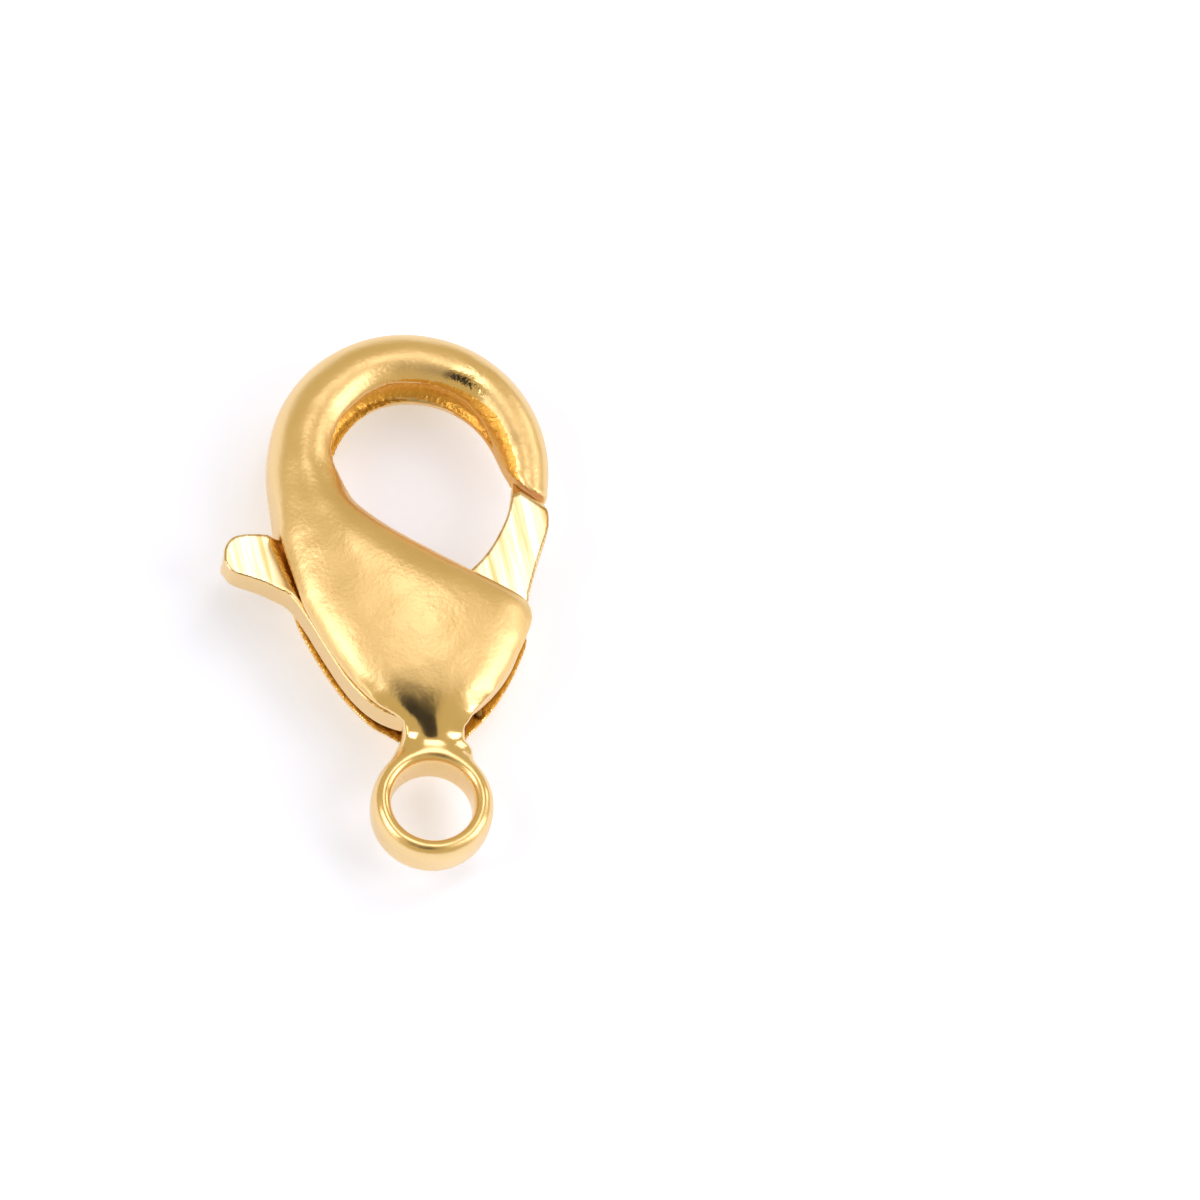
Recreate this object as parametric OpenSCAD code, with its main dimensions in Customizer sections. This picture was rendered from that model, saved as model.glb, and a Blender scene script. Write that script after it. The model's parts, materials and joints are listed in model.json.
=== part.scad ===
// Lobster clasp: a cast body with a hook, two domed walls round a slot and a ring eye,
// and a lever that turns on a hidden pin and is closed by a small wire spring.
// Lengths are in millimetres. The origin is the middle of the ring eye's bore. +Y points up to
// the hook and +Z out of the front, the side where the lever's flat face shows.

/* [Ring eye] */
// Bore of the ring eye
eye_bore_d = 2.2; // [1.8:0.05:2.4]
// Outer diameter of the ring eye
eye_d = 3.26; // [3.1:0.02:3.6]
// Thickness of the ring eye along its bore
eye_t = 1.55; // [1.3:0.05:1.8]
// Rounding of the bore's rims
eye_round = 0.16; // [0.08:0.02:0.2]

/* [Body] */
// Height of the neck above the middle of the eye
neck_y = 2; // [1.8:0.05:2.3]
// Width of the neck
neck_w = 1.62; // [1.3:0.02:1.9]
// Width of the belly, from the hook's side to the corner at the gate
belly_w = 6.9; // [6.4:0.1:7.6]
// Thickness of the belly over its two domed walls
belly_t = 3.1; // [2.9:0.1:3.6]
// Thickness of the belly at its rim, where the domes begin
rim_t = 1.76; // [1.7:0.02:2]
// Height of the hook's middle above the middle of the eye
hook_y = 9.5; // [8.8:0.05:10.4]
// Outer radius of the hook
hook_r = 3.72; // [3.5:0.02:4]
// Width of the hook at its root
hook_w = 1.8; // [1.6:0.05:2]
// Thickness of the hook at its root
hook_t = 2.5; // [2.3:0.05:2.7]

/* [Slot] */
// Height of the slot between the two walls
slot_h = 1.5; // [1.4:0.05:1.6]
// How far the slot's middle lies behind the body's
slot_back = 0.02; // [0:0.01:0.06]
// Depth of the channel in the hook's inner face, where it leaves the slot
channel_d = 0.6; // [0.4:0.05:0.7]

/* [Lever] */
// Gap between the lever's flat face and the front wall
face_gap = 0.04; // [0.02:0.01:0.08]
// Gap between the lever's back and the back wall, which holds the spring
back_gap = 0.28; // [0.26:0.01:0.4]
// Rounding of the lever's back edges
lever_round = 0.22; // [0.16:0.02:0.5]
// Radius of the lever's lobe about the pivot
lobe_r = 2.96; // [2.8:0.01:2.98]
// Gap between the lobe and the end of the slot at the neck
lobe_gap = 0.06; // [0.05:0.01:0.1]
// Reach of the thumb knob beyond the belly's side
knob_reach = 1.68; // [1.4:0.02:1.9]
// Gap between the gate's end and the hook's tip
tip_gap = 0.14; // [0.1:0.01:0.25]
// Depth of the bevel on the gate's end
tip_bevel = 0.36; // [0.2:0.02:0.5]

/* [Pivot and spring] */
// Diameter of the pivot pin
pin_d = 0.9; // [0.7:0.05:1.1]
// Radial clearance of the lever on the pin
pin_fit = 0.03; // [0.02:0.01:0.06]
// Metal left over each end of the pin
pin_cover = 0.22; // [0.15:0.01:0.3]
// Wire of the spring
wire_d = 0.18; // [0.12:0.01:0.2]
// Gap between the spring's bend and the pin
coil_gap = 0.06; // [0.04:0.01:0.1]

/* [Hidden] */

// Points round one section of the body, and the powers of its dome
body_sides = 32;
dome_n = 2;
dome_m = 1.8;
// Sections in each step of the tables, and steps in each rounded edge
body_steps = 3;
lever_steps = 3;
round_steps = 4;
// Share of the ring eye's wall that its outer rounding takes
outer_share = 0.66;
wire_sides = 10;

eye_r = eye_d / 2;
bore_r = eye_bore_d / 2;
belly_l = hook_y - neck_y;
// Share of the belly's width that lies left of the eye, and the pivot by its shares
left_share = 0.632;
hook_x = hook_r - left_share * belly_w;
pivot = at(-0.038, 0.417);
// Share of the belly's thickness at the pivot, and the pin's length between its covered ends
pivot_share = 0.96;
pin_l = pivot_share * belly_t - 2 * pin_cover;
// The slot's middle and back, and the lever's flat face and back between them
slot_z = -slot_back;
floor_z = slot_z - slot_h / 2;
face_z = slot_z + slot_h / 2 - face_gap;
back_z = floor_z + back_gap;

// A point of the belly, from shares of its width and length
function at(x, y) = [x * belly_w, neck_y + y * belly_l];
// A point of the hook, from an angle about its middle and a radius
function round_hook(a, r) = [hook_x + r * cos(a), hook_y + r * sin(a)];
// A point about the pivot
function round_pivot(a, r) = pivot + r * [cos(a), sin(a)];
// A value on a smooth curve through four rows, between the second and the third
function smooth(p, q, r, s, t) =
    (2 * q + (r - p) * t + (2 * p - 5 * q + 4 * r - s) * t * t + (3 * q - p - 3 * r + s) * t * t * t) / 2;
// A table's rows with steps laid between them on a smooth curve
function smooth_rows(rows, steps) = let (last = len(rows) - 1) [
    for (i = [0 : last - 1]) for (k = [0 : steps - 1])
        smooth(rows[max(i - 1, 0)], rows[i], rows[i + 1], rows[min(i + 2, last)], k / steps),
    rows[last]
];

// A closed solid through rings of equally many points
module loft(rings) {
    n = len(rings[0]);
    last = len(rings) - 1;
    points = [for (ring = rings) each ring];
    sides = [
        for (i = [0 : last - 1]) for (k = [0 : n - 1])
            let (a = i * n + k, b = i * n + (k + 1) % n)
                each [[a, b + n, b], [a, a + n, b + n]]
    ];
    ends = [[for (k = [0 : n - 1]) k], [for (k = [n - 1 : -1 : 0]) last * n + k]];
    polyhedron(points, concat(sides, ends));
}

// Rows of the body from the eye to the hook's tip. Each row is one section across the metal:
// outer x, outer y, inner x, inner y, half thickness, and half thickness at the two rims
root_y = bore_r + 0.1 * (eye_r - bore_r);
root_w = 0.95 * sqrt(eye_r * eye_r - root_y * root_y);
middle_y = (root_y + neck_y) / 2;
end_y = neck_y - 0.12 * neck_w;
neck_rows = [
    [-root_w, root_y, root_w, root_y, 0.33 * eye_t, 0.2 * eye_t, 0.2 * eye_t],
    [-0.6 * neck_w, middle_y, 0.63 * neck_w, middle_y, 0.44 * eye_t, 0.26 * eye_t, 0.26 * eye_t],
    [-0.48 * neck_w, end_y, 0.5 * neck_w, end_y, 0.5 * eye_t, 0.3 * eye_t, 0.3 * eye_t]
];
// The belly's rows hold shares: outer x, outer y, inner x, inner y, thickness, rim
belly_table = [
    [-0.128, 0.018, 0.133, 0.018, 0.60, 0.82],
    [-0.167, 0.046, 0.149, 0.050, 0.665, 0.94],
    [-0.225, 0.078, 0.188, 0.090, 0.74, 0.98],
    [-0.312, 0.159, 0.249, 0.161, 0.85, 1.00],
    [-0.402, 0.274, 0.312, 0.263, 0.94, 1.00],
    [-0.484, 0.407, 0.362, 0.376, 0.99, 1.00],
    [-0.519, 0.491, 0.371, 0.432, 1.00, 1.00],
    [-0.540, 0.551, 0.343, 0.489, 1.00, 1.00],
    [-0.557, 0.598, 0.264, 0.532, 1.00, 1.00],
    [-0.577, 0.657, 0.133, 0.592, 0.99, 0.97],
    [-0.592, 0.717, -0.003, 0.657, 0.965, 0.91],
    [-0.604, 0.784, -0.132, 0.723, 0.93, 0.80],
    [-0.614, 0.850, -0.236, 0.790, 0.885, 0.68],
    [-0.624, 0.910, -0.307, 0.856, 0.84, 0.56]
];
belly_rows = [
    for (row = belly_table) let (rim = row[5] * rim_t / 2)
        concat(at(row[0], row[1]), at(row[2], row[3]), row[4] * belly_t / 2, rim, rim)
];
// The hook's rows hold outer angle, inner angle, and shares of the width and thickness at its root
hook_table = [
    [180, 180, 1.00, 1.00],
    [158, 158, 0.98, 0.98],
    [135, 135, 0.96, 0.96],
    [112, 112, 0.93, 0.94],
    [90, 90, 0.91, 0.92],
    [68, 68, 0.875, 0.90],
    [50, 50, 0.835, 0.86],
    [35, 35, 0.805, 0.80],
    [21, 22, 0.78, 0.72],
    [8, 12, 0.75, 0.63],
    [-3, 4, 0.705, 0.565],
    [-12.2, -1.5, 0.65, 0.50],
    [-17, -6.5, 0.615, 0.465]
];
// The hook is round outside and fuller inside, where the channel lies
outer_rim = 0.2;
inner_rim = 0.42;
function hook_row(row) = let (half = row[3] * hook_t / 2) concat(
    round_hook(row[0], hook_r), round_hook(row[1], hook_r - row[2] * hook_w),
    half, outer_rim * half, inner_rim * half
);
body_rows = smooth_rows(concat(neck_rows, belly_rows, [for (row = hook_table) hook_row(row)]), body_steps);

// A quarter of a section: a straight side up to the rim and a dome over it
function dome(half, rim) = let (n = body_sides / 4 - 1) concat([[1, 0]], [
    for (k = [0 : n]) let (a = 90 * k / n)
        [pow(cos(a), 2 / dome_n), rim + (half - rim) * pow(sin(a), 2 / dome_m)]
]);
// One ring of the body, the same in front and behind
function body_ring(row) = let (
        mid = [row[0] + row[2], row[1] + row[3]] / 2, out = [row[0], row[1]] - mid,
        outer = dome(row[4], row[5]), inner = dome(row[4], row[6]), last = len(outer) - 1,
        half = concat(outer, [for (k = [last - 1 : -1 : 0]) [-inner[k][0], inner[k][1]]])
    ) [
        for (p = half) concat(mid + p[0] * out, p[1]),
        for (k = [len(half) - 2 : -1 : 1]) concat(mid + half[k][0] * out, -half[k][1])
    ];

// The channel's rows: angle, half width, depth, and how far its middle lies towards the front
channel_table = [
    [198, 0.47, 1.30, 0.00],
    [186, 0.48, 1.10, 0.03],
    [170, 0.46, 0.95, 0.07],
    [150, 0.42, 0.86, 0.11],
    [120, 0.365, 0.80, 0.14],
    [90, 0.335, 0.75, 0.15],
    [62, 0.30, 0.68, 0.135],
    [42, 0.24, 0.52, 0.11],
    [27, 0.15, 0.32, 0.08],
    [15, 0.05, 0.02, 0.04]
];
function hook_inner(a) = hook_r - hook_w * lookup(a, [for (i = [len(hook_table) - 1 : -1 : 0])
    [hook_table[i][1], hook_table[i][2]]]);
function channel_ring(row) = let (
        edge = hook_inner(row[0]), half = row[1] * slot_h, mid = slot_z + row[3] * slot_h,
        floor_r = edge + row[2] * channel_d, mouth_r = edge - channel_d / 2
    ) [
        for (p = [[floor_r, 0.55], [floor_r - 0.2 * channel_d, 1], [mouth_r, 1.15],
                  [mouth_r, -1.15], [floor_r - 0.2 * channel_d, -1], [floor_r, -0.55]])
            concat(round_hook(row[0], p[0]), mid + half * p[1])
    ];

// Outline of the slot, open all along the belly's lower left and upper right edges. At the neck
// it ends in an arc about the pivot that clears the lobe, with a short step on each side.
slot_rim = at(0.95, 0)[0];
slot_r = lobe_r + lobe_gap;
slot_foot = neck_y - 0.006 * belly_l;
column = 0.5 * neck_w;
function slot_arc(x) = [x, pivot[1] - sqrt(slot_r * slot_r - (x - pivot[0]) * (x - pivot[0]))];
arc_steps = 6;
slot_outline = concat([
    [-slot_rim, at(0, 0.705)[1]],
    at(-0.545, 0.705),
    at(-0.515, 0.735),
    at(-0.490, 0.820),
    round_hook(180, hook_inner(180) + 1.05 * channel_d),
    round_hook(175, hook_inner(180) - channel_d),
    at(-0.130, 0.880),
    at(0.260, 0.730),
    [slot_rim, at(0, 0.600)[1]],
    [slot_rim, slot_foot],
    [column, slot_foot]
], [for (k = [arc_steps : -1 : 0]) slot_arc(column * (2 * k / arc_steps - 1))], [
    [-column, slot_foot],
    [-slot_rim, slot_foot]
]);

// Ring eye: a short tube, with its rims rounded more outside than in the bore
module eye() {
    r = min(eye_round, 0.3 * (eye_r - bore_r));
    full = outer_share * (eye_r - bore_r);
    corners = [
        [eye_r - full, eye_t / 2 - full, 0, full], [bore_r + r, eye_t / 2 - r, 90, r],
        [bore_r + r, r - eye_t / 2, 180, r], [eye_r - full, full - eye_t / 2, 270, full]
    ];
    rotate_extrude($fn = 96)
        polygon([
            for (c = corners) for (k = [0 : round_steps])
                let (a = c[2] + 90 * k / round_steps) [c[0] + c[3] * cos(a), c[1] + c[3] * sin(a)]
        ]);
}

// Body: hook, belly walls, neck and ring eye, cast in one piece
module body() {
    color("goldenrod") difference() {
        union() {
            loft([for (row = body_rows) body_ring(row)]);
            eye();
        }
        translate([0, 0, slot_z]) linear_extrude(slot_h, center = true) polygon(slot_outline);
        loft([for (row = smooth_rows(channel_table, 2)) channel_ring(row)]);
        translate([pivot[0], pivot[1], 0]) cylinder(h = pin_l, d = pin_d, center = true, $fn = 48);
        translate([spring_foot[0], spring_foot[1], floor_z - foot_l])
            cylinder(h = 2 * foot_l, d = wire_d, $fn = 24);
        translate([tip_in[0], tip_in[1], 0]) rotate([0, 0, tip_turn]) rotate([90, 0, 90])
            linear_extrude(2 * hook_w, center = true)
                polygon([[0, -slot_h], [0, tip_z], [hook_w, tip_z + hook_w * tan(bevel_a)], [hook_w, -slot_h]]);
    }
}

// The hook's tip ends square up to the height of the gate's bevel, and reaches over the bevel
tip_out = round_hook(-12.2, hook_r);
tip_in = round_hook(-1.5, hook_inner(-1.5));
tip_along = (tip_in - tip_out) / norm(tip_in - tip_out);
tip_back = [-tip_along[1], tip_along[0]];
tip_turn = atan2(tip_along[1], tip_along[0]);
tip_z = face_z - tip_bevel;
// Slopes of the bevel on the gate's end and of the facet on its inner corner, and the facet's turn
bevel_a = 55;
facet_a = 38;
facet_turn = 27;
// The gate's end lies along the hook's tip, with a gap between them. It stands back a little from
// the tip's outer edge and more from its inner edge.
outer_step = 0.06 * hook_w;
inner_step = 0.17 * hook_w;
gate_out = tip_out + tip_gap * tip_back + outer_step * tip_along;
gate_in = tip_in + tip_gap * tip_back - inner_step * tip_along;
// The gate's rows are laid from its end to its root in the lobe by shares of the way:
// share of the outer edge, its bulge, share of the inner edge, its hollow
gate_table = [
    [1.00, 0.00, 1.00, 0.00],
    [0.86, 0.075, 0.84, 0.055],
    [0.68, 0.10, 0.67, 0.095],
    [0.50, 0.07, 0.50, 0.105],
    [0.33, 0.04, 0.32, 0.095],
    [0.17, 0.02, 0.15, 0.06],
    [0.00, 0.00, 0.00, 0.00]
];
gate_root_out = at(0.362, 0.515);
gate_root_in = at(0.119, 0.582);
gate_rows = [
    for (row = gate_table) let (out = gate_out - gate_root_out, in = gate_in - gate_root_in)
        concat(gate_root_out + row[0] * out + row[1] * [out[1], -out[0]],
               gate_root_in + row[2] * in + row[3] * [in[1], -in[0]])
];
// The lobe's rows hold the angle and radius share of its round edge, and shares of the belly
// at its inner edge
lobe_table = [
    [-8, 0.90, 0.105, 0.585],
    [-35, 0.89, 0.065, 0.600],
    [-65, 0.95, 0.020, 0.612],
    [-90, 1.00, -0.045, 0.625],
    [-111, 0.99, -0.125, 0.640],
    [-132, 0.938, -0.225, 0.655]
];
lobe_rows = [for (row = lobe_table) concat(round_pivot(row[0], row[1] * lobe_r), at(row[2], row[3]))];
// The side's rows hold shares of the belly, the knob's a share of its reach and of the length
side_table = [
    [-0.405, 0.2755, -0.345, 0.663],
    [-0.486, 0.4015, -0.449, 0.673],
    [-0.547, 0.478, -0.536, 0.689]
];
knob_table = [
    [0.175, 0.502, 0.190, 0.697],
    [0.370, 0.524, 0.370, 0.707],
    [0.610, 0.542, 0.640, 0.706],
    [0.830, 0.557, 0.840, 0.694],
    [0.943, 0.580, 0.940, 0.672],
    [0.998, 0.610, 0.995, 0.640]
];
knob_x = at(-0.556, 0)[0];
lever_rows = smooth_rows(concat(
    gate_rows, lobe_rows,
    [for (row = side_table) concat(at(row[0], row[1]), at(row[2], row[3]))],
    [for (row = knob_table) [knob_x - row[0] * knob_reach, at(0, row[1])[1],
                             knob_x - row[2] * knob_reach, at(0, row[3])[1]]]
), lever_steps);

// The facet on the knob beside the belly's edge: its ends, its slope and its width
relief_top = at(-0.629, 0.703);
relief_low = at(-0.507, 0.459);
relief_a = 36;
relief_w = 0.28 * hook_w;

// One ring of the lever: square edges in front and round ones at the back
function lever_ring(row) = let (
        outer = [row[0], row[1]], inner = [row[2], row[3]], wide = norm(inner - outer),
        way = (inner - outer) / wide, r = min(lever_round, 0.45 * wide)
    ) [
        concat(outer, face_z),
        concat(inner, face_z),
        for (k = [0 : round_steps]) let (a = 90 * k / round_steps)
            concat(inner - r * (1 - cos(a)) * way, back_z + r * (1 - sin(a))),
        for (k = [round_steps : -1 : 0]) let (a = 90 * k / round_steps)
            concat(outer + r * (1 - cos(a)) * way, back_z + r * (1 - sin(a)))
    ];

// Lever: gate, lobe and thumb knob in one plate, flat in front and rounded at the back
module lever() {
    corner = gate_in + tip_bevel * (0.6 * tip_back - 1.15 * tip_along);
    relief = relief_low - relief_top;
    color("gold") difference() {
        loft([for (row = lever_rows) lever_ring(row)]);
        translate([pivot[0], pivot[1], 0])
            cylinder(h = 2 * slot_h, r = pin_d / 2 + pin_fit, center = true, $fn = 48);
        translate([gate_in[0], gate_in[1], tip_z]) rotate([0, 0, tip_turn]) rotate([bevel_a, 0, 0])
            translate([-2 * hook_w, -hook_w, 0]) cube([3 * hook_w, 2 * hook_w, slot_h]);
        translate([corner[0], corner[1], face_z]) rotate([0, 0, facet_turn]) rotate([-facet_a, 0, 0])
            translate([-hook_w / 2, 0, 0]) cube([hook_w, hook_w, slot_h]);
        translate([relief_top[0], relief_top[1], face_z]) rotate([0, 0, atan2(relief[1], relief[0])])
            rotate([-relief_a, 0, 0]) translate([-0.2 * norm(relief), 0, 0])
                cube([1.2 * norm(relief), relief_w, slot_h]);
        translate([spring_end[0], spring_end[1], back_z - hole_l])
            cylinder(h = 2 * hole_l, r = wire_d / 2 + pin_fit, $fn = 24);
    }
}

// Pivot pin: a plain round pin, hidden under the walls
module pivot_pin() {
    color("silver") translate([pivot[0], pivot[1], 0]) cylinder(h = pin_l, d = pin_d, center = true, $fn = 48);
}

// The spring's ends: a foot in the back wall right of the neck, and an end in the lever's back
spring_foot = at(0.188, 0.133);
spring_end = round_pivot(160, 0.67 * lobe_r);
foot_l = 0.16;
hole_l = 0.4;
end_l = 0.3;
bend_r = 0.75 * wire_d;
bend_steps = 4;
spring_z = (floor_z + back_z) / 2;
spring_r = pin_d / 2 + coil_gap + wire_d / 2;
// Angles about the pivot at which the two straight legs leave the bend
function leg_angle(p, turn) = atan2(p[1] - pivot[1], p[0] - pivot[0]) + turn * acos(spring_r / norm(p - pivot));
foot_a = leg_angle(spring_foot, 1);
end_a = leg_angle(spring_end, -1);
// Each row of the wire: its middle, its heading and its pitch
wire_rows = concat(
    [concat(spring_foot, floor_z - foot_l, foot_a + 90, 90)],
    [for (k = [bend_steps : -1 : 0]) let (a = 90 * k / bend_steps) concat(
        spring_foot + bend_r * (1 - sin(a)) * [cos(foot_a + 90), sin(foot_a + 90)],
        spring_z - bend_r * (1 - cos(a)), foot_a + 90, a)],
    [for (k = [0 : 2 * bend_steps]) let (a = foot_a + (end_a - foot_a) * k / (2 * bend_steps))
        concat(round_pivot(a, spring_r), spring_z, a + 90, 0)],
    [for (k = [0 : bend_steps]) let (a = 90 * k / bend_steps) concat(
        spring_end - bend_r * (1 - sin(a)) * [cos(end_a + 90), sin(end_a + 90)],
        spring_z + bend_r * (1 - cos(a)), end_a + 90, a)],
    [concat(spring_end, back_z + end_l, end_a + 90, 90)]
);
function wire_ring(row) = let (
        side = [-sin(row[3]), cos(row[3]), 0],
        up = [-cos(row[3]) * sin(row[4]), -sin(row[3]) * sin(row[4]), cos(row[4])]
    ) [
        for (k = [0 : wire_sides - 1]) let (a = 360 * k / wire_sides)
            [row[0], row[1], row[2]] + wire_d / 2 * (cos(a) * side + sin(a) * up)
    ];

// Spring: a bent wire over the pin, with a leg down to the neck and a leg out to the lever's side
module spring() {
    color("dimgray") loft([for (row = wire_rows) wire_ring(row)]);
}

body();
lever();
pivot_pin();
spring();
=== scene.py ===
"""Lobster clasp in gold plated brass: a hook with its ring eye, a lever, a pin and a spring."""
import json
import math

import bpy
from mathutils import Matrix, Vector

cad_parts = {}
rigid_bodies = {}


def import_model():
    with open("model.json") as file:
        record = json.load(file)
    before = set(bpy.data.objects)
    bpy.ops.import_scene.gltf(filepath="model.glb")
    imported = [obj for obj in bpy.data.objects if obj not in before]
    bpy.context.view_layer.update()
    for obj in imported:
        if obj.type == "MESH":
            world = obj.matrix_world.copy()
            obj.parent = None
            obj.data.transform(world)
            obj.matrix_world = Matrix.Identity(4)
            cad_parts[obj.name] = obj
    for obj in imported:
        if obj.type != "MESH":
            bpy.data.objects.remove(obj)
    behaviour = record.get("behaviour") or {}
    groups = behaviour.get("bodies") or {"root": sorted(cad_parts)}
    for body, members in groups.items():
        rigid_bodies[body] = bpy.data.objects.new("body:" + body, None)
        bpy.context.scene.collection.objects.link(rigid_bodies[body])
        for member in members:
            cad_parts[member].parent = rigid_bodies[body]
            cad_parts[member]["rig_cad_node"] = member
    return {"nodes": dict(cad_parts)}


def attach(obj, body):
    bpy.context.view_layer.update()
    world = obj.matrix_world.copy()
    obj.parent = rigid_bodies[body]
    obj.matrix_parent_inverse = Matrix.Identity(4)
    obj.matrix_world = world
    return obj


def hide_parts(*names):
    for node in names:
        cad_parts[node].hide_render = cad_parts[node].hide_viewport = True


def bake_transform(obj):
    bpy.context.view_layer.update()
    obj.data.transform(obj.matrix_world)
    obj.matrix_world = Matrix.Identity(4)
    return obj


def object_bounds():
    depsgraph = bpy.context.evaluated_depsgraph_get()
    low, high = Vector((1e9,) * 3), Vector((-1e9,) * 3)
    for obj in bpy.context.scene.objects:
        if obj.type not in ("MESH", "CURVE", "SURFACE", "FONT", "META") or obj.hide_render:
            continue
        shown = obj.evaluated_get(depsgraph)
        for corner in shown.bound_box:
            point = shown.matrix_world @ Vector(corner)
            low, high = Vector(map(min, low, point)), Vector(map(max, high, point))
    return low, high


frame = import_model()
cad_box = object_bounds()

# ---- Camera ----
# A long lens that looks down on the clasp from the ring eye's end, as the photograph was taken.
# The picture is 31.4 mm wide, and the clasp lies left of its middle.
mm = 0.001
aim = Vector((4.41, 6.03, 0)) * mm
view = Vector((-0.0806, -0.3779, 0.9223)).normalized()
right = Vector((0, 1, 0)).cross(view).normalized()
up = view.cross(right)
camera_distance = 1500 * mm
picture_width = 31.36 * mm
film_width = 36

bpy.ops.object.camera_add(
    location=aim + camera_distance * view,
    rotation=Matrix((right, up, view)).transposed().to_euler(),
)
camera = bpy.context.object
camera.name = "camera"
camera.data.sensor_width = film_width
camera.data.lens = film_width * camera_distance / picture_width
camera.data.clip_start = 10 * mm
camera.data.clip_end = 10000 * mm
bpy.context.scene.camera = camera

# ---- Floor ----
# A sheet of matt white paper that the clasp lies on. It is lit until it is almost white, and
# keeps the soft shadows.


def linear(colour):
    """An sRGB hex colour as the linear values that a shader takes."""
    values = [int(colour[i : i + 2], 16) / 255 for i in (0, 2, 4)]
    return [v / 12.92 if v <= 0.04045 else ((v + 0.055) / 1.055) ** 2.4 for v in values] + [1]


def add_node(material, kind, settings=None, links=None):
    """Adds a shader node, with its settings by name and its links as input: (node, output)."""
    tree = material.node_tree
    node = tree.nodes.new(kind)
    for name, value in (settings or {}).items():
        if name in node.inputs:
            node.inputs[name].default_value = value
        else:
            setattr(node, name, value)
    for name, (source, output) in (links or {}).items():
        tree.links.new(source.outputs[output], node.inputs[name])
    return node


def new_material(name):
    """A material with an empty node tree."""
    material = bpy.data.materials.new(name)
    material.use_nodes = True
    material.node_tree.nodes.clear()
    return material


# Uncoated paper scatters light, and its fibres, a millimetre long, are only just felt. The scale of
# a noise is the number of its lumps in a metre, here and below.
paper = new_material("matt_white_paper")
place = add_node(paper, "ShaderNodeTexCoord")
fibre = add_node(
    paper, "ShaderNodeTexNoise", {"Scale": 900, "Detail": 3}, {"Vector": (place, "Object")}
)
relief = add_node(
    paper, "ShaderNodeBump", {"Strength": 0.05, "Distance": 0.05 * mm}, {"Height": (fibre, 0)}
)
sheet = add_node(
    paper,
    "ShaderNodeBsdfPrincipled",
    {
        "Base Color": linear("F1F4F6"),
        "Roughness": 0.85,
        "Specular IOR Level": 0.2,
        "Emission Color": linear("FFFFFF"),
        "Emission Strength": 0.34,
    },
    {"Normal": (relief, "Normal")},
)
add_node(paper, "ShaderNodeOutputMaterial", links={"Surface": (sheet, "BSDF")})

sheet_size = 1200 * mm
lowest_z = cad_box[0][2]
bpy.ops.object.select_all(action="DESELECT")
bpy.ops.mesh.primitive_plane_add(size=sheet_size, location=(aim.x, aim.y, lowest_z))
bpy.ops.object.transform_apply(location=True, rotation=True, scale=True)
floor = bpy.context.object
floor.name = "floor"
floor.data.materials.append(paper)

# ---- Light ----
# A tent with a softbox overhead and lit walls at its sides. The metal mirrors the tent's beige
# cloth, which deepens the gold, and the key lamp lights the paper and throws the soft shadows to
# the lower left. The camera and its stand are dark, and the polished neck mirrors them.
world = bpy.data.worlds.new("beige_tent")
bpy.context.scene.world = world
world.use_nodes = True
path = add_node(world, "ShaderNodeLightPath")
cloth = add_node(
    world, "ShaderNodeMix", {"data_type": "RGBA"}, {"Factor": (path, "Is Glossy Ray")}
)
# The colour mix has its two colours at inputs 6 and 7, and its result at output 2
cloth.inputs[6].default_value = linear("949290")
cloth.inputs[7].default_value = linear("D0C197")
tent = world.node_tree.nodes["Background"]
tent.inputs["Strength"].default_value = 1.0
world.node_tree.links.new(cloth.outputs[2], tent.inputs["Color"])
bpy.context.scene.view_settings.view_transform = "Standard"

lamp_colour = linear("EBEAFA")[:3]
# Direction, distance, width and height in mm, power in watts, and whether the metal mirrors it
lamps = {
    "softbox": ((0.04, 0.24, 0.97), 300, 90, 125, 0.078, True),
    "left_glow": ((-0.69, -0.13, 0.70), 300, 130, 190, 0.24, True),
    "left_wall": ((-0.84, -0.42, 0.28), 300, 200, 60, 0.05, True),
    "right_wall": ((0.77, -0.16, 0.62), 300, 140, 260, 0.33, True),
    "far_glow": ((0.74, 0.42, 0.53), 300, 70, 120, 0.055, True),
    "key": ((0.40, 0.50, 0.78), 400, 200, 200, 0.33, False),
}
for name, (direction, distance, width, height, power, mirrored) in lamps.items():
    direction = Vector(direction).normalized()
    bpy.ops.object.light_add(
        type="AREA",
        location=aim + distance * mm * direction,
        rotation=direction.to_track_quat("Z", "Y").to_euler(),
    )
    lamp = bpy.context.object
    lamp.name = name
    lamp.data.shape = "RECTANGLE"
    lamp.data.size, lamp.data.size_y = width * mm, height * mm
    lamp.data.energy = power
    lamp.data.color = lamp_colour
    lamp.visible_glossy = mirrored

# Matt black lacquer, which shows only where the metal mirrors it
black = new_material("black_camera_front")
coat = add_node(
    black, "ShaderNodeBsdfPrincipled", {"Base Color": linear("141110"), "Roughness": 0.6}
)
add_node(black, "ShaderNodeOutputMaterial", links={"Surface": (coat, "BSDF")})
front = Vector((-0.09, -0.47, 0.88)).normalized()
front_distance = 250 * mm
front_radius = 50 * mm
# The stand makes it taller than it is wide
front_stretch = 1.8
bpy.ops.object.select_all(action="DESELECT")
bpy.ops.mesh.primitive_circle_add(
    vertices=64,
    radius=front_radius,
    fill_type="NGON",
    location=aim + front_distance * front,
    rotation=front.to_track_quat("Z", "Y").to_euler(),
)
camera_front = bpy.context.object
camera_front.name = "camera_front"
camera_front.scale = (1, front_stretch, 1)
bpy.ops.object.transform_apply(location=True, rotation=True, scale=True)
camera_front.data.materials.append(black)
camera_front.visible_camera = False
camera_front.visible_diffuse = False
camera_front.visible_shadow = False

# ---- Body ----
# Hook, belly walls, neck and ring eye in one lost-wax casting of brass. It is tumbled until its
# edges are soft, polished at the neck and the eye, and gold plated. The slot and the channel in
# the hook keep the rough skin of the casting.


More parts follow.
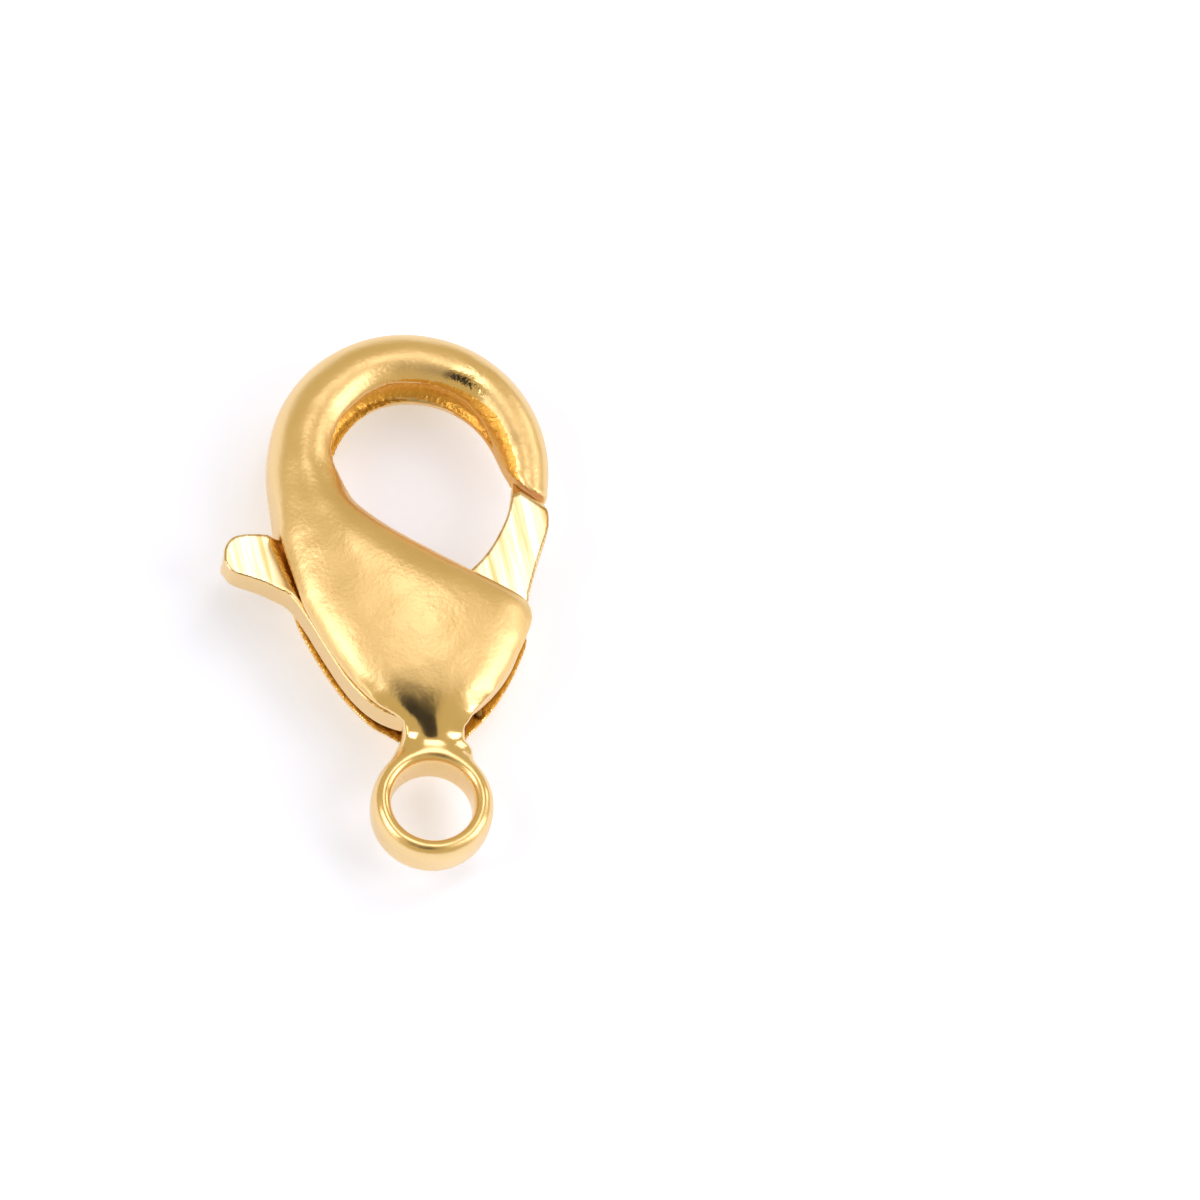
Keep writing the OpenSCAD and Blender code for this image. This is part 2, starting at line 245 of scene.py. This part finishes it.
def copy_node(node, name):
    """A copy of a CAD node as one closed mesh, in millimetres."""
    merge_distance = 0.002 * mm
    bpy.ops.object.select_all(action="DESELECT")
    source = frame["nodes"][node]
    source.select_set(True)
    bpy.context.view_layer.objects.active = source
    bpy.ops.object.duplicate()
    piece = bpy.context.object
    piece.name = name
    piece.parent = None
    del piece["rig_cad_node"]
    piece.data.materials.clear()
    bpy.ops.object.mode_set(mode="EDIT")
    bpy.ops.mesh.select_all(action="SELECT")
    bpy.ops.mesh.remove_doubles(threshold=merge_distance)
    bpy.ops.object.mode_set(mode="OBJECT")
    piece.scale = (1 / mm, 1 / mm, 1 / mm)
    bpy.ops.object.transform_apply(location=False, rotation=False, scale=True)
    return piece


def tumble(piece, grain, edge_angle, keep, rounds, finish):
    """Wears a casting smooth in rounds of its faces, and then in a few rounds of all of it.

    Edges sharper than edge_angle, and keep vertices beside them, are left out of the first.
    """
    wear = 0.5
    remesh = piece.modifiers.new("skin", "REMESH")
    remesh.mode = "VOXEL"
    remesh.voxel_size = grain
    bpy.ops.object.modifier_apply(modifier=remesh.name)
    bpy.ops.object.mode_set(mode="EDIT")
    bpy.ops.mesh.select_mode(type="EDGE")
    bpy.ops.mesh.select_all(action="DESELECT")
    bpy.ops.mesh.edges_select_sharp(sharpness=math.radians(edge_angle))
    bpy.ops.mesh.select_mode(type="VERT")
    for _ in range(keep):
        bpy.ops.mesh.select_more()
    bpy.ops.mesh.select_all(action="INVERT")
    bpy.ops.mesh.vertices_smooth(factor=wear, repeat=rounds)
    bpy.ops.mesh.select_all(action="SELECT")
    bpy.ops.mesh.vertices_smooth(factor=wear, repeat=finish)
    bpy.ops.object.mode_set(mode="OBJECT")
    bpy.ops.object.shade_smooth()


def to_metres(piece):
    """Brings a piece that was shaped in millimetres to the size of the frame."""
    bpy.ops.object.select_all(action="DESELECT")
    piece.select_set(True)
    bpy.context.view_layer.objects.active = piece
    piece.scale = (mm, mm, mm)
    bpy.ops.object.transform_apply(location=False, rotation=False, scale=True)


# Gold plate over tumbled brass: a soft mirror, cloudy from one place to the next
satin = new_material("tumbled_satin_gold")
place = add_node(satin, "ShaderNodeTexCoord")
height = add_node(satin, "ShaderNodeSeparateXYZ", links={"Vector": (place, "Object")})
# Roughness by height in mm: the neck is polished, the eye less so, and the belly is satin
polished_height = 4
height_share = add_node(
    satin,
    "ShaderNodeMapRange",
    {"From Min": 0, "From Max": polished_height * mm},
    {"Value": (height, "Y")},
)
polish = add_node(satin, "ShaderNodeValToRGB", links={"Fac": (height_share, 0)})
for stop_height, value in ((1.12, 0.25), (1.6, 0.08), (2.4, 0.08), (3.36, 0.33)):
    stop = polish.color_ramp.elements.new(stop_height / polished_height)
    stop.color = (value, value, value, 1)
polish.color_ramp.elements.remove(polish.color_ramp.elements[0])
polish.color_ramp.elements.remove(polish.color_ramp.elements[-1])
cloud = add_node(
    satin, "ShaderNodeTexNoise", {"Scale": 500, "Detail": 4}, {"Vector": (place, "Object")}
)
cloudy = add_node(
    satin,
    "ShaderNodeMapRange",
    {"From Min": 0.3, "From Max": 0.7, "To Min": -0.03, "To Max": 0.08},
    {"Value": (cloud, 0)},
)
roughness = add_node(satin, "ShaderNodeMath", {"operation": "ADD"})
satin.node_tree.links.new(polish.outputs[0], roughness.inputs[0])
satin.node_tree.links.new(cloudy.outputs[0], roughness.inputs[1])
# A spot on the front of the hook's top is rubbed bright by use, and mirrors the dark camera
spot = add_node(satin, "ShaderNodeVectorMath", {"operation": "DISTANCE"})
spot.inputs[1].default_value = Vector((0.75, 11.45, 1.1)) * mm
satin.node_tree.links.new(place.outputs["Object"], spot.inputs[0])
rubbed = add_node(
    satin,
    "ShaderNodeMapRange",
    {"From Min": 0.35 * mm, "From Max": 0.75 * mm, "To Min": 0.25, "To Max": 1},
    {"Value": (spot, "Value")},
)
shine = add_node(satin, "ShaderNodeMath", {"operation": "MULTIPLY"})
satin.node_tree.links.new(roughness.outputs[0], shine.inputs[0])
satin.node_tree.links.new(rubbed.outputs[0], shine.inputs[1])
tone = add_node(satin, "ShaderNodeMix", {"data_type": "RGBA"}, {"Factor": (cloud, 0)})
tone.inputs[6].default_value = linear("F2CF91")
tone.inputs[7].default_value = linear("F7D99F")
# Tumbling leaves waves of about 1.2 mm, and a grain that is drawn coarser than it is, at about
# 0.11 mm, so that it shows. The grain fades out toward the polished neck.
grain = add_node(
    satin, "ShaderNodeTexNoise", {"Scale": 9000, "Detail": 3}, {"Vector": (place, "Object")}
)
waves = add_node(
    satin, "ShaderNodeTexNoise", {"Scale": 800, "Detail": 1.4}, {"Vector": (place, "Object")}
)
depth = add_node(
    satin,
    "ShaderNodeMapRange",
    {"From Min": 2.4 * mm, "From Max": 3.6 * mm, "To Min": 0.12, "To Max": 0.65},
    {"Value": (height, "Y")},
)
fine = add_node(
    satin,
    "ShaderNodeBump",
    {"Distance": 0.012 * mm},
    {"Height": (grain, 0), "Strength": (depth, 0)},
)
soft = add_node(
    satin,
    "ShaderNodeBump",
    {"Strength": 0.6, "Distance": 0.12 * mm},
    {"Height": (waves, 0), "Normal": (fine, "Normal")},
)
gold = add_node(
    satin,
    "ShaderNodeBsdfPrincipled",
    {"Metallic": 1.0},
    {"Base Color": (tone, 2), "Roughness": (shine, 0), "Normal": (soft, "Normal")},
)
add_node(satin, "ShaderNodeOutputMaterial", links={"Surface": (gold, "BSDF")})

# The rough skin of the casting, with lumps of about 0.2 mm. The skin between the slot's walls is
# painted darker than the channel's, as painted shade in the narrow gap.
cast, shade_darkened_skin = new_material("plated_casting_skin"), new_material("slot_lining_painted_dark_as_shade")
for rough_skin, colour in ((cast, "E9B254"), (shade_darkened_skin, "BC8734")):
    place = add_node(rough_skin, "ShaderNodeTexCoord")
    lumps = add_node(
        rough_skin,
        "ShaderNodeTexNoise",
        {"Scale": 5500, "Detail": 4, "Roughness": 0.6},
        {"Vector": (place, "Object")},
    )
    skin = add_node(
        rough_skin,
        "ShaderNodeBump",
        {"Strength": 0.8, "Distance": 0.05 * mm},
        {"Height": (lumps, 0)},
    )
    gold = add_node(
        rough_skin,
        "ShaderNodeBsdfPrincipled",
        {"Base Color": linear(colour), "Metallic": 1.0, "Roughness": 0.34},
        {"Normal": (skin, "Normal")},
    )
    add_node(rough_skin, "ShaderNodeOutputMaterial", links={"Surface": (gold, "BSDF")})

body = copy_node("body", "cast_body")
tumble(body, grain=0.057, edge_angle=32, keep=2, rounds=70, finish=2)
for metal in (satin, cast, shade_darkened_skin):
    body.data.materials.append(metal)
# Heights of the slot's two walls and its middle, and the bounds of the channel, in mm
slot_low, slot_middle, slot_high = -0.79, -0.02, 0.75
channel_low, channel_high, channel_start, channel_reach = -0.7, 0.85, 7.2, 2.2
hook_middle = Vector((-0.641, 9.5, 0))
for face in body.data.polygons:
    middle = face.center
    inside = slot_low < middle.z < slot_high
    between_walls = inside and face.normal.z * (middle.z - slot_middle) < -0.3
    inward = (hook_middle - middle).normalized().dot(face.normal) > 0.2
    in_reach = (middle - hook_middle).xy.length > channel_reach and middle.y > channel_start
    if channel_low < middle.z < channel_high and inward and in_reach:
        face.material_index = 1
    # Faces between the slot's walls take the darker skin, which is painted shade
    elif between_walls:
        face.material_index = 2
to_metres(body)
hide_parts("body")
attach(body, "shell")

# ---- Lever ----
# Gate, lobe and thumb knob in one cast brass plate, gold plated. Its front is ground flat with a
# fine belt, which leaves steep lines, and its back edges are tumbled round.
# Plate over belt-ground brass: almost a mirror, with lines that lean 13 degrees and are 20 times
# as long as wide
ground = new_material("belt_ground_gold")
place = add_node(ground, "ShaderNodeTexCoord")
turn = add_node(
    ground,
    "ShaderNodeMapping",
    {"vector_type": "TEXTURE", "Rotation": (0, 0, math.radians(13)), "Scale": (1, 20, 1)},
    {"Vector": (place, "Object")},
)
lines = add_node(
    ground, "ShaderNodeTexNoise", {"Scale": 5000, "Detail": 3}, {"Vector": (turn, "Vector")}
)
streaks = add_node(
    ground, "ShaderNodeMapRange", {"From Min": 0.32, "From Max": 0.58}, {"Value": (lines, 0)}
)
cuts = add_node(
    ground, "ShaderNodeBump", {"Strength": 0.25, "Distance": 0.01 * mm}, {"Height": (lines, 0)}
)
tone = add_node(ground, "ShaderNodeMix", {"data_type": "RGBA"}, {"Factor": (streaks, 0)})
tone.inputs[6].default_value = linear("D2AC70")
tone.inputs[7].default_value = linear("F9E8C6")
gold = add_node(
    ground,
    "ShaderNodeBsdfPrincipled",
    {"Metallic": 1.0, "Roughness": 0.2},
    {"Base Color": (tone, 2), "Normal": (cuts, "Normal")},
)
add_node(ground, "ShaderNodeOutputMaterial", links={"Surface": (gold, "BSDF")})

lever = copy_node("lever", "cast_lever")
tumble(lever, grain=0.04, edge_angle=32, keep=2, rounds=70, finish=2)
for metal in (satin, ground, cast):
    lever.data.materials.append(metal)
# The flat front is ground, but for what the belly's left side covers. The facet beside the knob
# keeps the skin of the casting.
front_low, covered_below = 0.66, 5.5
facet_right, facet_bottom = -2, 4.5
for face in lever.data.polygons:
    middle, normal = face.center, face.normal
    beside_knob = middle.x < facet_right and middle.y > facet_bottom
    flat_front = middle.z > front_low and normal.z > 0.9
    if beside_knob and normal.z > 0.6 and normal.x > 0.15:
        face.material_index = 2
    elif flat_front and (middle.y > covered_below or middle.x > 0):
        face.material_index = 1
to_metres(lever)
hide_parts("lever")
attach(lever, "lever")

# ---- Pivot pin ----
# A plain round pin of drawn steel wire, pressed into both walls. Their finish hides its ends.
# Bright drawn steel: a clean grey metal with long, fine die marks
steel = new_material("drawn_steel_wire")
place = add_node(steel, "ShaderNodeTexCoord")
along = add_node(
    steel, "ShaderNodeMapping", {"Scale": (1, 1, 0.05)}, {"Vector": (place, "Object")}
)
drawn = add_node(
    steel, "ShaderNodeTexNoise", {"Scale": 8000, "Detail": 2}, {"Vector": (along, "Vector")}
)
marks = add_node(
    steel, "ShaderNodeBump", {"Strength": 0.2, "Distance": 0.01 * mm}, {"Height": (drawn, 0)}
)
metal = add_node(
    steel,
    "ShaderNodeBsdfPrincipled",
    {"Base Color": linear("C9C7C3"), "Metallic": 1.0, "Roughness": 0.3},
    {"Normal": (marks, "Normal")},
)
add_node(steel, "ShaderNodeOutputMaterial", links={"Surface": (metal, "BSDF")})
pin = frame["nodes"]["pivot_pin"]
pin.data.materials.clear()
pin.data.materials.append(steel)

# ---- Spring ----
# A bent length of spring steel wire, darkened by its heat treatment. Only its foot shows, in the
# slot right of the neck.
# Tempered steel: brown, in patches, with a dull shine
tempered = new_material("tempered_spring_wire")
place = add_node(tempered, "ShaderNodeTexCoord")
patches = add_node(
    tempered, "ShaderNodeTexNoise", {"Scale": 4000, "Detail": 2}, {"Vector": (place, "Object")}
)
tone = add_node(tempered, "ShaderNodeMix", {"data_type": "RGBA"}, {"Factor": (patches, 0)})
tone.inputs[6].default_value = linear("8A6A34")
tone.inputs[7].default_value = linear("A8874A")
metal = add_node(
    tempered,
    "ShaderNodeBsdfPrincipled",
    {"Metallic": 1.0, "Roughness": 0.35},
    {"Base Color": (tone, 2)},
)
add_node(tempered, "ShaderNodeOutputMaterial", links={"Surface": (metal, "BSDF")})
spring = copy_node("spring", "spring_wire")
spring.data.materials.append(tempered)
to_metres(spring)
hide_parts("spring")
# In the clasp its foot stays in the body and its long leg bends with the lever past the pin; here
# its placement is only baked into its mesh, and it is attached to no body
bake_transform(spring)
